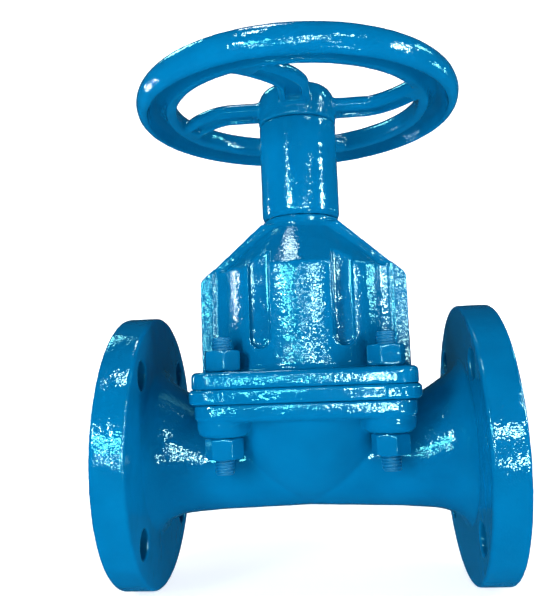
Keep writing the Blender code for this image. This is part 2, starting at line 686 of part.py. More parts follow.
def main():
    clear_scene()
    enamel = material("blue_enamel", (0.0, 0.17, 0.47), 0.25, 0.0)
    rubber = material("black_rubber", (0.02, 0.02, 0.02), 0.7, 0.0)
    steel = material("steel", (0.55, 0.55, 0.56), 0.35, 1.0)
    bronze = material("bronze", (0.6, 0.38, 0.16), 0.35, 1.0)
    iron = material("cast_iron", (0.08, 0.08, 0.085), 0.7, 0.6)
    make_body(enamel)
    make_lining(rubber)
    make_diaphragm_rim(enamel)
    make_diaphragm_dome(rubber)
    make_diaphragm_insert(steel)
    make_compressor(iron)
    make_compressor_pin(steel)
    make_bonnet(enamel)
    make_neck_sleeve(enamel)
    make_spindle_seal(rubber)
    make_spindle(steel)
    make_drive_bush(bronze)
    make_drive_rings(steel, bronze, rubber)
    make_handwheel(enamel)
    make_wheel_fasteners(steel)
    make_fasteners(enamel)


main()
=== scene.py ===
"""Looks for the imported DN 80 diaphragm valve: painted castings round the frame's own solids.

The frame's solids fix every place and size. The castings are built again here at a finer step, with
the fillets, sand-cast skin and threads that the frame's solids leave out. Sizes are millimetres
about the valve centre, as in the frame's source, and MM turns them into metres where a mesh is made.
"""

import json

from math import atan2, cos, pi, sin, sqrt, tau

import bmesh
import bpy
import numpy as np
from mathutils import Matrix, Vector, noise


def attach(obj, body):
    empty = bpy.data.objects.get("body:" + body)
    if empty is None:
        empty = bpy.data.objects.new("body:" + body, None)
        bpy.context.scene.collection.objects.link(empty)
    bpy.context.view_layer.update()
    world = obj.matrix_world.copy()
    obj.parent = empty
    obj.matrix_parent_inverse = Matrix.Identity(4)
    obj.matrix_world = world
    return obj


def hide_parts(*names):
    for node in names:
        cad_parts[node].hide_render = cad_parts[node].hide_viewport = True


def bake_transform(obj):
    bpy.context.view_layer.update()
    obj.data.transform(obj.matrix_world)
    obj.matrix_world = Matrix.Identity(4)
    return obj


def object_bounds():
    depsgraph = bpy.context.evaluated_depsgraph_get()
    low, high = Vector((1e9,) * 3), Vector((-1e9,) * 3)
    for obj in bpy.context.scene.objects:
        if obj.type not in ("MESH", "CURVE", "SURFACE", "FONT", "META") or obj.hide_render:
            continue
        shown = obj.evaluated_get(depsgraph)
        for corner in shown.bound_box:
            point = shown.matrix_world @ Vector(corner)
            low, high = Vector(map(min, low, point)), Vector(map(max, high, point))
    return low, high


MM = 0.001

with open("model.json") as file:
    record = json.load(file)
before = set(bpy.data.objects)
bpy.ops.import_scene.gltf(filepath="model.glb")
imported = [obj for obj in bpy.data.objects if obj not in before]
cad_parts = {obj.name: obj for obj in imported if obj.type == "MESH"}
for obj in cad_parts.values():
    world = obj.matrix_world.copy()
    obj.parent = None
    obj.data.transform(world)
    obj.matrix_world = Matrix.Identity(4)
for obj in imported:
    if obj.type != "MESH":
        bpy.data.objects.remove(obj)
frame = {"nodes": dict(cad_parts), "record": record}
CAD_LOW, CAD_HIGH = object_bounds()

# Pipe ends.
FACE_TO_FACE = (CAD_HIGH.x - CAD_LOW.x) / MM
CENTRE_X = (CAD_HIGH.x + CAD_LOW.x) / 2 / MM
LINING = 3.0
LINING_PROUD = 1.0
FLANGE_OD = 190.5
FLANGE_THICK = 22.5
BOLT_CIRCLE = 152.4
BOLT_HOLE = 19.0
LINED_BORE = 70.0
FACE_LIP_OD = 127.0

# Clearances between separate parts.
GAP = 0.3
RUNNING = 0.35

# The joint between body and bonnet.
SEAT_Z = 34.0
RIM_THICK = 8.9
BONNET_Z = SEAT_Z + RIM_THICK + 2 * GAP
BONNET_FLANGE_TOP = 54.5
BODY_FLANGE_HALF = 71.0
RIM_HALF = 73.2
EAR_PROUD = 1.0
BONNET_FLANGE_HALF = 72.6
FLANGE_CORNER = 13.0
STUD_X = 53.5
STUD_Y = 52.0
STUD_R = 6.35
STUD_HOLE_R = 7.0
STUD_LOW = -11.5
STUD_HIGH = 77.0
STUD_PITCH = 1.954
STUD_THREAD_DEPTH = 0.75
NUT_FLATS = 22.2
NUT_HEIGHT = 13.8
BOSS_R = 17.4
BOSS_Z = 12.6
UPPER_NUT_Z = BONNET_FLANGE_TOP + GAP
LOWER_NUT_Z = BOSS_Z - GAP - NUT_HEIGHT

# The diaphragm's bowl when closed, which is also the top of the lined weir.
BOWL_R = 55.0
BOWL_DEPTH = 32.0
DOME_THICK = 7.0
INSERT_HEAD_R = 9.0
INSERT_HEAD = 3.0
SECTORS = 12

# Bonnet, neck sleeve and the drive inside them.
BARREL_R = 59.5
BARREL_TOP = 124.5
NECK_Z = 163.0
NECK_R = 28.3
WING_X = 72.0
WING_Y = 23.0
BAND = 9.5
BAND_Y = 24.0
BAND_PROUD = 0.3
SLANT_FOOT_X = 70.5
SLANT_HEAD_Z = 157.0
WING_TOP = 119.5
GROOVE_X = 27.75
GROOVE_HALF = 7.25
GROOVE_LOW = 69.0
GROOVE_FLOOR = 45.0
SLEEVE_R = 28.4
SLEEVE_TOP = 234.7
SPIGOT_R = 17.2
SPIGOT_Z = 141.0
SPINDLE_R = 8.0
SPINDLE_TOP = 258.0
SPINDLE_THREAD_LOW = 172.0
SPINDLE_PITCH = 4.0
SPINDLE_THREAD_DEPTH = 1.1
SOCKET_FLOOR = 46.0
PIN_Z = 54.0
PIN_R = 3.0
BUSH_R = 11.6
DRIVE_POCKET_R = 20.0
DRIVE_POCKET_Z = 200.0
CAVITY_R = 39.5
SLOT_HALF = 7.5
SLOT_REACH = 60.0
SLOT_TOP = 112.0

# Handwheel.
WHEEL_OUTER = 118.5
WHEEL_INNER = 89.5
RIM_BOTTOM = 239.0
RIM_INNER_BOTTOM = 242.8
RIM_TOP = 261.0
SPOKES = 4
SPOKE_BOTTOM = 243.0
SPOKE_TOP = 253.0
HUB_BOTTOM = SLEEVE_TOP + 2 * GAP
HUB_TOP = 262.8
KEY_HALF = 2.0
KEY_HIGH = 249.0

# How finely the shapes are made.
TURN_STEPS = 160
HOLE_STEPS = 48
CASTING_VOXEL = 1.0
RIM_VOXEL = 0.7
NUT_VOXEL = 0.55

# The castings' sand skin: the width of its broad and small unevenness, and the small one's height.
SWELL_WIDTH = 9.0
PIT_WIDTH = 2.6
PIT_HEIGHT = 0.14


# ---------------------------------------------------------------- mesh helpers

def joined(rings, loop=False):
    """A bmesh through rings of points, each with as many points, or one where it shuts on an axis."""
    made = bmesh.new()
    rows = [[made.verts.new(point) for point in ring] for ring in rings]
    pairs = list(zip(rows, rows[1:]))
    if loop:
        pairs.append((rows[-1], rows[0]))
    for low, high in pairs:
        count = max(len(low), len(high))
        for i in range(count):
            corners = [low[i % len(low)], low[(i + 1) % count % len(low)],
                       high[(i + 1) % count % len(high)], high[i % len(high)]]
            corners = [v for n, v in enumerate(corners) if v not in corners[:n]]
            if len(corners) > 2:
                made.faces.new(corners)
    if not loop:
        for ring in (rows[0], rows[-1]):
            if len(ring) > 2:
                made.faces.new(ring)
    return made


def revolved(outline, steps=TURN_STEPS):
    """A solid turned about Z from (radius, height) points; a closed outline leaves a bore."""
    rings = []
    for radius, height in outline:
        if radius == 0.0:
            rings.append([(0.0, 0.0, height)])
        else:
            rings.append([(radius * cos(tau * k / steps), radius * sin(tau * k / steps), height)
                          for k in range(steps)])
    return joined(rings, loop=all(radius > 0.0 for radius, _ in outline))


def cylinder(radius, low, high, steps=HOLE_STEPS):
    return revolved([(0.0, low), (radius, low), (radius, high), (0.0, high)], steps)


def rounded_square(half, corner, height, corner_steps=10):
    points = []
    for side in range(4):
        sign_x = 1 if side in (0, 3) else -1
        sign_y = 1 if side in (0, 1) else -1
        for k in range(corner_steps + 1):
            a = pi / 2 * (side + k / corner_steps)
            points.append((sign_x * (half - corner) + corner * cos(a),
                           sign_y * (half - corner) + corner * sin(a), height))
    return points


def slab(half, corner, low, high, edge_low, edge_high):
    levels = [(low, edge_low), (low + edge_low, 0.0), (high - edge_high, 0.0), (high, edge_high)]
    return joined([rounded_square(half - e, corner - e, z) for z, e in levels])


def box(low, high):
    made = bmesh.new()
    bmesh.ops.create_cube(made, size=1.0)
    bmesh.ops.scale(made, vec=[b - a for a, b in zip(low, high)], verts=made.verts)
    bmesh.ops.translate(made, vec=[(a + b) / 2 for a, b in zip(low, high)], verts=made.verts)
    return made


def prism(outline, low, high, up="Z"):
    lift = {"Z": lambda u, v, w: (u, v, w), "Y": lambda u, v, w: (u, w, v)}[up]
    return joined([[lift(u, v, w) for u, v in outline] for w in (low, high)])


def moved(made, shift=(0.0, 0.0, 0.0), turn=0.0, tip=None):
    """The same bmesh, tipped from Z onto the axis named by tip, then turned about Z, then shifted."""
    if tip:
        axis, angle = {"X": ("Y", pi / 2), "Y": ("X", -pi / 2)}[tip]
        made.transform(Matrix.Rotation(angle, 4, axis))
    made.transform(Matrix.Translation(shift) @ Matrix.Rotation(turn, 4, "Z"))
    return made


def smooth_line(points, per_span=4):
    """Points of any length, run through a smooth curve that passes every one of them."""
    ends = [points[0]] + list(points) + [points[-1]]
    made = []
    for a, b, c, d in zip(ends, ends[1:], ends[2:], ends[3:]):
        for k in range(per_span):
            t = k / per_span
            made.append(tuple(
                0.5 * (2 * q + (r - p) * t + (2 * p - 5 * q + 4 * r - s) * t * t
                       + (3 * q - p - 3 * r + s) * t ** 3)
                for p, q, r, s in zip(a, b, c, d)))
    return made + [tuple(points[-1])]


# ---------------------------------------------------------------- objects

def to_object(name, maker):
    """An object in the row frame from a bmesh in millimetres about the valve centre."""
    maker.transform(Matrix.Scale(MM, 4) @ Matrix.Translation((CENTRE_X, 0.0, 0.0)))
    bmesh.ops.recalc_face_normals(maker, faces=maker.faces)
    mesh = bpy.data.meshes.new(name)
    maker.to_mesh(mesh)
    maker.free()
    obj = bpy.data.objects.new(name, mesh)
    bpy.context.scene.collection.objects.link(obj)
    return obj


def built(name, base, steps=(), voxel=None, rounds=0):
    """A piece from a base and (operation, bmeshes) steps, then remade at one voxel and smoothed."""
    obj = to_object(name, base)
    tools = []
    for operation, makers in steps:
        for maker in makers:
            tool = to_object(f"{name}_tool", maker)
            tools.append(tool)
            modifier = obj.modifiers.new(operation, "BOOLEAN")
            modifier.operation = operation
            modifier.solver = "EXACT"
            modifier.object = tool
    if voxel:
        remesh = obj.modifiers.new("remesh", "REMESH")
        remesh.mode = "VOXEL"
        remesh.voxel_size = voxel * MM
    if rounds:
        smooth = obj.modifiers.new("smooth", "SMOOTH")
        smooth.factor = 0.5
        smooth.iterations = rounds
    final = bpy.data.meshes.new_from_object(obj.evaluated_get(bpy.context.evaluated_depsgraph_get()))
    obj.modifiers.clear()
    obj.data = final
    for tool in tools:
        bpy.data.objects.remove(tool)
    final.shade_smooth()
    return obj


def finished(obj, body, look, slot_name, *nodes):
    """Gives a piece its material and its body, and hides the frame's nodes that it stands for; slot_name is
    not used.
    """
    obj.data.materials.clear()
    obj.data.materials.append(look)
    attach(obj, body)
    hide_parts(*nodes)


def points_of(mesh):
    found = np.empty(len(mesh.vertices) * 3, np.float32)
    mesh.vertices.foreach_get("co", found)
    return found.reshape(-1, 3).astype(float)


def normals_of(mesh):
    found = np.empty(len(mesh.vertices) * 3, np.float32)
    mesh.vertex_normals.foreach_get("vector", found)
    return found.reshape(-1, 3).astype(float)


def local_points(mesh):
    """The mesh's points in millimetres about the valve centre."""
    return points_of(mesh) / MM - np.array([CENTRE_X, 0.0, 0.0])


def store(mesh, name, values):
    """Keeps one number a point under a name that a material reads."""
    mesh.attributes.new(name, "FLOAT", "POINT").data.foreach_set("value", values.astype(np.float32))


def cast_skin(obj, swell, grain, coarse=None):
    """Raises and sinks the surface like a sand casting, and stores how rough its paint lies.

    swell is the height of the broad unevenness in millimetres. grain is the paint's roughness from
    0 to 1, and coarse, given the points in millimetres about the valve centre, adds to it in places.
    """
    mesh = obj.data
    points, normals = points_of(mesh), normals_of(mesh)
    broad = np.array([noise.noise(Vector(p)) for p in points / (SWELL_WIDTH * MM)])
    small = np.array([noise.noise(Vector(p)) for p in points / (PIT_WIDTH * MM)])
    skin = np.full(len(points), grain)
    if coarse is not None:
        skin = np.clip(skin + coarse(local_points(mesh)), 0.0, 1.0)
    height = swell * broad + PIT_HEIGHT * skin * small
    moved_points = points + normals * (height * MM)[:, None]
    moved_points = np.clip(moved_points, np.array(CAD_LOW), np.array(CAD_HIGH))
    mesh.vertices.foreach_set("co", moved_points.astype(np.float32).ravel())
    store(mesh, "skin", skin)
    mesh.update()


def patches(points, width, spread=0.0):
    """Soft patches about width across, from 0 to 1, over half the surface, or more with spread."""
    return np.clip(np.array([noise.noise(Vector(p)) for p in points / width]) + spread, 0.0, 1.0)


def fade(value, low, high, width):
    """1 between low and high, falling to 0 over width outside them."""
    return np.clip(np.minimum(value - low, high - value) / width + 1.0, 0.0, 1.0)


# ---------------------------------------------------------------- shared shapes

def smoothstep(t):
    t = min(max(t, 0.0), 1.0)
    return t * t * (3 - 2 * t)


def bowl_height(radius):
    """Height of the closed diaphragm's wet side, and of the weir under it."""
    return SEAT_Z - BOWL_DEPTH * (1 - smoothstep(radius / BOWL_R))


def radii(last, steps):
    return [last * k / steps for k in range(steps + 1)]


def bowl(drop, mouth_radius, top):
    outline = [(r, bowl_height(r) - drop) for r in radii(BOWL_R, 20)]
    if mouth_radius > BOWL_R:
        outline.append((mouth_radius, SEAT_Z - drop))
    return revolved(outline + [(mouth_radius, top), (0.0, top)])


def oval(x, top, bottom, half_y, steps):
    middle, half_z = (top + bottom) / 2, (top - bottom) / 2
    return [(x, half_y * cos(tau * k / steps), middle + half_z * sin(tau * k / steps)) for k in range(steps)]


def passage(offset, side):
    """One arm of the waterway, from past the end flange to the weir; offset thickens it all round."""
    bore = LINED_BORE / 2
    sections = [(FACE_TO_FACE / 2 + 6.0, bore, -bore, bore), (96.0, bore, -bore, bore),
                (72.0, 23.5, -34.5, 34.0), (52.0, 20.0, -32.0, 33.0), (25.0, 16.0, -15.0, 30.0),
                (12.0, 12.0, -3.5, 26.0), (7.0 - offset, 8.5, 2.8, 20.0)]
    return joined([oval(side * x, top + offset, low - offset, half + offset, 72)
                   for x, top, low, half in smooth_line(sections)])


# ---------------------------------------------------------------- materials

def node(tree, kind, **values):
    made = tree.nodes.new(kind)
    for name, value in values.items():
        if name in made.inputs:
            made.inputs[name].default_value = value
        else:
            setattr(made, name, value)
    return made


def noise_node(tree, scale, detail):
    made = node(tree, "ShaderNodeTexNoise", Scale=scale, Detail=detail)
    coordinates = next(n for n in tree.nodes if n.type == "TEX_COORD")
    tree.links.new(coordinates.outputs["Object"], made.inputs["Vector"])
    return made.outputs["Fac"]


def ranged(tree, value, low, high, to_low, to_high):
    made = node(tree, "ShaderNodeMapRange")
    for name, number in (("From Min", low), ("From Max", high), ("To Min", to_low), ("To Max", to_high)):
        made.inputs[name].default_value = number
    tree.links.new(value, made.inputs["Value"])
    return made.outputs["Result"]


def maths(tree, operation, first, second):
    made = node(tree, "ShaderNodeMath", operation=operation)
    for socket, value in zip(made.inputs, (first, second)):
        if isinstance(value, (int, float)):
            socket.default_value = value
        else:
            tree.links.new(value, socket)
    return made.outputs[0]


def mixed(tree, factor, first, second):
    made = node(tree, "ShaderNodeMix", data_type="RGBA")
    tree.links.new(factor, made.inputs[0])
    for socket, value in ((made.inputs[6], first), (made.inputs[7], second)):
        if isinstance(value, tuple):
            socket.default_value = (*value, 1.0)
        else:
            tree.links.new(value, socket)
    return made.outputs[2]


def bumped(tree, shader, height, distance, strength=1.0):
    bump = node(tree, "ShaderNodeBump", Strength=strength, Distance=distance)
    tree.links.new(height, bump.inputs["Height"])
    tree.links.new(bump.outputs["Normal"], shader.inputs["Normal"])


def new_material(name, metallic=0.0, specular=0.5):
    made = bpy.data.materials.new(name)
    made.use_nodes = True
    tree = made.node_tree
    tree.nodes.new("ShaderNodeTexCoord")
    shader = tree.nodes["Principled BSDF"]
    shader.inputs["Metallic"].default_value = metallic
    shader.inputs["Specular IOR Level"].default_value = specular
    return made, tree, shader


ENAMEL_DEEP = (0.0, 0.118, 0.290)
ENAMEL_BRIGHT = (0.0, 0.152, 0.365)
GLOSS_TINT = (0.45, 1.0, 0.97, 1.0)
# Dark blue painted as shade on the walls of the flange bolt holes.
HOLE_SHADE_DARK = (0.0, 0.03, 0.085)
PAINT_RELIEF = 0.00014
PAINTED_RUBBER_RELIEF = 0.00015
RUBBER_BLACK = (0.012, 0.012, 0.013)
RUBBER_GREY = (0.03, 0.03, 0.032)
STEEL = (0.42, 0.42, 0.43), (0.62, 0.62, 0.63)
BRONZE = (0.45, 0.27, 0.11), (0.66, 0.43, 0.19)
CAST_IRON = (0.05, 0.05, 0.055), (0.12, 0.12, 0.125)


def enamel_parts(tree):
    """Colour, roughness and height of the blue enamel, darkened as painted shade inside the flange bolt
    holes; it lies dull on a piece with no skin attribute.
    """
    skin = node(tree, "ShaderNodeAttribute", attribute_name="skin").outputs["Fac"]
    broad = noise_node(tree, 34.0, 3.0)
    fine = noise_node(tree, 850.0, 0.0)
    peel = noise_node(tree, 260.0, 1.0)
    hole_shade = node(tree, "ShaderNodeAttribute", attribute_name="hole_shade").outputs["Fac"]
    paint = mixed(tree, ranged(tree, broad, 0.3, 0.7, 0.25, 1.0), ENAMEL_DEEP, ENAMEL_BRIGHT)
    # Painted shade: the enamel is darkened inside the flange bolt holes, by the stored hole attribute.
    colour = mixed(tree, hole_shade, paint, HOLE_SHADE_DARK)
    gloss = ranged(tree, peel, 0.3, 0.7, 0.04, 0.08)
    roughness = maths(tree, "ADD", gloss, ranged(tree, skin, 0.0, 0.05, 0.3, 0.0))
    rough_height = maths(tree, "MULTIPLY", fine, ranged(tree, skin, 0.0, 1.0, 0.06, 1.0))
    height = maths(tree, "ADD", rough_height, maths(tree, "MULTIPLY", peel, 0.5))
    return colour, roughness, height


def enamel_material():
    made, tree, shader = new_material("blue_enamel")
    shader.inputs["Specular Tint"].default_value = GLOSS_TINT
    colour, roughness, height = enamel_parts(tree)
    tree.links.new(colour, shader.inputs["Base Color"])
    tree.links.new(roughness, shader.inputs["Roughness"])
    bumped(tree, shader, height, PAINT_RELIEF)
    return made


def painted_rubber_material():
    """Black rubber whose outer edge is painted over, by the stored paint attribute."""
    made, tree, shader = new_material("painted_rubber", specular=0.35)
    shader.inputs["Specular Tint"].default_value = GLOSS_TINT
    colour, roughness, height = enamel_parts(tree)
    paint = node(tree, "ShaderNodeAttribute", attribute_name="paint").outputs["Fac"]
    grime = noise_node(tree, 180.0, 4.0)
    rubber = mixed(tree, grime, RUBBER_BLACK, RUBBER_GREY)
    edge = maths(tree, "ADD", paint, ranged(tree, grime, 0.3, 0.7, -0.2, 0.2))
    painted = ranged(tree, edge, 0.45, 0.55, 0.0, 1.0)
    tree.links.new(mixed(tree, painted, rubber, colour), shader.inputs["Base Color"])
    dull = ranged(tree, grime, 0.3, 0.7, 0.55, 0.7)
    matt = node(tree, "ShaderNodeMix", data_type="FLOAT")
    for value, socket in ((painted, 0), (dull, 2), (roughness, 3)):
        tree.links.new(value, matt.inputs[socket])
    tree.links.new(matt.outputs[0], shader.inputs["Roughness"])
    bumped(tree, shader, height, PAINTED_RUBBER_RELIEF)
    return made


def rubber_material():
    made, tree, shader = new_material("black_rubber", specular=0.35)
    bloom = noise_node(tree, 60.0, 4.0)
    grain = noise_node(tree, 900.0, 2.0)
    tree.links.new(mixed(tree, bloom, RUBBER_BLACK, RUBBER_GREY), shader.inputs["Base Color"])
    tree.links.new(ranged(tree, bloom, 0.3, 0.7, 0.5, 0.68), shader.inputs["Roughness"])
    bumped(tree, shader, grain, 0.0002, 0.6)
    return made


def metal_material(name, low, high, turned=True, rough=(0.25, 0.42)):
    """Machined metal with fine turning marks up its length, or as cast where it isn't turned."""
    made, tree, shader = new_material(name, metallic=1.0)
    stain = noise_node(tree, 120.0, 4.0)
    colour = mixed(tree, ranged(tree, stain, 0.3, 0.7, 0.0, 1.0), low, high)
    tree.links.new(colour, shader.inputs["Base Color"])
    tree.links.new(ranged(tree, stain, 0.3, 0.7, *rough), shader.inputs["Roughness"])
    if turned:
        marks = node(tree, "ShaderNodeTexWave", wave_type="BANDS", bands_direction="Z", Scale=700.0,
                     Distortion=2.0, Detail=2.0)
        coordinates = next(n for n in tree.nodes if n.type == "TEX_COORD")
        tree.links.new(coordinates.outputs["Object"], marks.inputs["Vector"])
        bumped(tree, shader, marks.outputs["Fac"], 0.00003, 0.5)
    else:
        bumped(tree, shader, noise_node(tree, 500.0, 3.0), 0.0003)
    return made


# ---------------------------------------------------------------- body

def stud_places():
    return [(STUD_X, -STUD_Y), (-STUD_X, -STUD_Y), (-STUD_X, STUD_Y), (STUD_X, STUD_Y)]


def stud_holes(low, high):
    return [moved(cylinder(STUD_HOLE_R, low, high), (x, y, 0.0)) for x, y in stud_places()]


def body_shell():
    """End flanges and the necks between them; the necks dip under the bonnet joint."""
    outer = FACE_TO_FACE / 2 - LINING_PROUD
    back = outer - FLANGE_THICK
    rim = FLANGE_OD / 2
    chamfer = 1.0
    flange = [(outer, rim - chamfer, rim - chamfer, rim - chamfer), (outer - chamfer, rim, rim, rim),
              (back + chamfer, rim, rim, rim), (back, rim - chamfer, rim - chamfer, rim - chamfer)]
    neck = [(back, 57.0, 57.0, 57.0), (back - 4.0, 51.0, 51.0, 51.0), (back - 11.0, 45.5, 47.0, 46.6),
            (back - 21.0, 39.0, 44.4, 43.8), (back - 36.0, 30.0, 43.2, 41.0), (56.5, 28.0, 42.4, 39.6),
            (0.0, 28.0, 40.6, 38.2)]
    half = flange + smooth_line(neck)[:-1]
    sections = half + [(0.0, 28.0, 40.6, 38.2)] + [(-x, a, b, c) for x, a, b, c in reversed(half)]
    return joined([oval(x, top, -low, side, TURN_STEPS) for x, top, low, side in sections])


def body_pocket():
    dish = [(0.0, -38.0), (20.0, -35.0), (30.0, -29.5), (40.0, -22.0), (50.0, -11.0), (59.0, 4.0),
            (64.0, 17.0), (66.0, 26.0)]
    return revolved(smooth_line(dish) + [(0.0, 26.0)])


def body_boss(x, y):
    outline = [(0.0, BOSS_Z), (BOSS_R - 5.0, BOSS_Z), (BOSS_R - 3.0, BOSS_Z + 0.6),
               (BOSS_R - 1.2, BOSS_Z + 2.4), (BOSS_R - 0.2, BOSS_Z + 5.0), (BOSS_R, BOSS_Z + 7.0),
               (BOSS_R, SEAT_Z - 6.0), (0.0, SEAT_Z - 6.0)]
    return moved(revolved(outline, 64), (x, y, 0.0))


def body_grain(points):
    """Rough on the flange rims and the upper half of the joint flange, smooth in the hollows."""
    rim = np.hypot(points[:, 1], points[:, 2])
    on_rims = fade(rim, FLANGE_OD / 2 - 1.5, FLANGE_OD, 1.0)
    joint = fade(points[:, 2], 30.0, SEAT_Z, 3.0) * (np.abs(points[:, 0]) < BODY_FLANGE_HALF + 4.0)
    shoulders = fade(np.abs(points[:, 0]), BODY_FLANGE_HALF, 112.0, 6.0) * fade(rim, 0.0, 56.0, 3.0)
    return 0.55 * on_rims + 0.4 * joint + 0.6 * shoulders + 0.4 * patches(points, 30.0)


def make_body(looks):
    joint = slab(BODY_FLANGE_HALF, FLANGE_CORNER, 22.6, SEAT_Z, 2.5, 0.6)
    recess = FACE_TO_FACE / 2 - LINING
    length = FACE_TO_FACE / 2 + 5.0
    reach = BOLT_CIRCLE / 2 / sqrt(2)
    steps = [
        ("UNION", [body_pocket(), joint, *[body_boss(x, y) for x, y in stud_places()]]),
        ("DIFFERENCE", [bowl(LINING, BOWL_R + LINING + GAP, SEAT_Z + 8.0), passage(LINING, 1),
                        passage(LINING, -1), *stud_holes(0.0, SEAT_Z + 8.0)]),
        ("DIFFERENCE", [moved(cylinder(FACE_LIP_OD / 2 + GAP, -LINING, LINING, TURN_STEPS),
                              (side * (recess + LINING), 0.0, 0.0), tip="X") for side in (1, -1)]),
        ("DIFFERENCE", [moved(cylinder(BOLT_HOLE / 2, -length, length), (0.0, y * reach, z * reach), tip="X")
                        for y in (1, -1) for z in (1, -1)]),
    ]
    body = built("valve_casting", body_shell(), steps, CASTING_VOXEL, 5)
    cast_skin(body, 0.12, 0.08, body_grain)
    points = local_points(body.data)
    # Marks the walls of the flange bolt holes for painted shade, a darker paint colour there.
    from_hole = np.hypot(np.abs(points[:, 1]) - reach, np.abs(points[:, 2]) - reach)
    in_hole = fade(from_hole, 0.0, BOLT_HOLE / 2 - 0.4, 0.8) * (np.abs(points[:, 0]) > BODY_FLANGE_HALF)
    store(body.data, "hole_shade", in_hole)
    finished(body, "valve_body", looks["enamel"], "enamel", "body")


def make_lining(looks):
    """The rubber lining of the whole waterway, with a lip over the middle of each end face."""
    skin = LINING - 1.5 * GAP
    half = FACE_TO_FACE / 2
    trims = [box((side * (half + 20.0) - 20.0, -60.0, -60.0), (side * (half + 20.0) + 20.0, 60.0, 60.0))
             for side in (1, -1)]
    lip = [(0.0, -skin / 2), (FACE_LIP_OD / 2, -skin / 2), (FACE_LIP_OD / 2, skin / 2 - 0.5),
           (FACE_LIP_OD / 2 - 0.6, skin / 2), (0.0, skin / 2)]
    lips = [moved(revolved([(r, side * z) for r, z in lip]), (side * (half - skin / 2), 0.0, 0.0), tip="X")
            for side in (1, -1)]
    steps = [("UNION", [passage(skin, 1), passage(skin, -1)]), ("DIFFERENCE", trims), ("UNION", lips),
             ("DIFFERENCE", [bowl(0.0, BOWL_R, SEAT_Z + 8.0), passage(0.0, 1), passage(0.0, -1)])]
    lining = built("waterway_lining", bowl(skin, BOWL_R + skin, SEAT_Z - 0.05), steps)
    lining.data.set_sharp_from_angle(angle=pi / 6)
    finished(lining, "valve_body", looks["rubber"], "rubber", "body_lining")


# ---------------------------------------------------------------- diaphragm

def make_diaphragm_rim(looks):
    """The clamped rubber flange, with a thicker ear at each bolted corner, painted round its edge."""
    low, high = SEAT_Z + 0.06, BONNET_Z - 0.06
    ear_half = RIM_HALF + EAR_PROUD
    inner, far = RIM_HALF - 21.5, RIM_HALF + 20.0
    ears = built("ears", slab(ear_half, FLANGE_CORNER + EAR_PROUD, low + 1.1, high - 1.2, 0.5, 0.5),
                 [("DIFFERENCE", [box((-inner, -far, 0.0), (inner, far, 60.0)),
                                  box((-far, -inner, 0.0), (far, inner, 60.0))])])
    ear_maker = bmesh.new()
    ear_maker.from_mesh(ears.data)
    ear_maker.transform(Matrix.Translation((-CENTRE_X, 0.0, 0.0)) @ Matrix.Scale(1 / MM, 4))
    bpy.data.objects.remove(ears)
    steps = [("UNION", [ear_maker]),
             ("DIFFERENCE", [cylinder(BOWL_R + GAP, 0.0, 60.0, TURN_STEPS), *stud_holes(20.0, 60.0)])]
    flange = slab(RIM_HALF, FLANGE_CORNER, low, high, 0.5, 0.5)
    rim = built("diaphragm_flange", flange, steps, RIM_VOXEL, 2)
    cast_skin(rim, 0.08, 0.1)
    local = local_points(rim.data)
    reach = np.maximum(np.abs(local[:, 0]), np.abs(local[:, 1]))
    corner = np.hypot(np.maximum(np.abs(local[:, 0]) - (RIM_HALF - FLANGE_CORNER), 0.0),
                      np.maximum(np.abs(local[:, 1]) - (RIM_HALF - FLANGE_CORNER), 0.0))
    outside = np.maximum(reach - RIM_HALF, corner - FLANGE_CORNER)
    store(rim.data, "paint", np.clip(1.0 + (outside + 1.5) / 3.0, 0.0, 1.0))
    finished(rim, "valve_body", looks["painted_rubber"], "painted_rubber", "diaphragm_rim")


def dome_under(radius):
    return bowl_height(radius) + RUNNING


def make_dome(looks):
    """The flexing middle of the diaphragm, in equal sectors that each follow the bowl's curve along their
    own radius.
    """
    inner, outer = INSERT_HEAD_R + GAP, BOWL_R - 0.1
    floor = dome_under(0.0) + DOME_THICK - INSERT_HEAD - GAP
    under = [(r, dome_under(r)) for r in radii(outer, 28)]
    over = [(r, dome_under(r) + DOME_THICK) for r in reversed(radii(outer, 28)) if r > inner]
    outline = under + over + [(inner, dome_under(inner) + DOME_THICK), (inner, floor), (0.0, floor)]
    for number in range(SECTORS):
        start = tau * number / SECTORS
        across = [start + tau / SECTORS * k / 8 for k in range(9)]
        rings = [[(r * cos(a), r * sin(a), z) for r, z in outline[:-1]] for a in across]
        sector = wedge(rings, outline[0][1], floor)
        piece = to_object(f"diaphragm_sector_{number + 1:02d}", sector)
        piece.data.shade_smooth()
        piece.data.set_sharp_from_angle(angle=pi / 5)
        piece.data.materials.append(looks["rubber"])
        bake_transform(piece)
        if number == 0:
            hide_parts("diaphragm_dome")


def wedge(rings, low, high):
    """A closed sector through rings of points whose first and last shut on the axis."""
    made = bmesh.new()
    rows = [[made.verts.new(p) for p in ring[1:]] for ring in rings]
    bottom = made.verts.new((0.0, 0.0, low))
    top = made.verts.new((0.0, 0.0, high))
    for first, second in zip(rows, rows[1:]):
        for i in range(len(first) - 1):
            made.faces.new((first[i], first[i + 1], second[i + 1], second[i]))
        made.faces.new((bottom, first[0], second[0]))
        made.faces.new((top, second[-1], first[-1]))
    for row in (rows[0], rows[-1]):
        made.faces.new([bottom] + row + [top])
    bmesh.ops.triangulate(made, faces=[f for f in made.faces if len(f.verts) > 4])
    return made


# ---------------------------------------------------------------- bonnet and neck

def slant_height(x):
    """Height of the wings' sloping top edge."""
    return SLANT_HEAD_Z - (x - NECK_R) * (SLANT_HEAD_Z - WING_TOP) / (SLANT_FOOT_X - NECK_R)


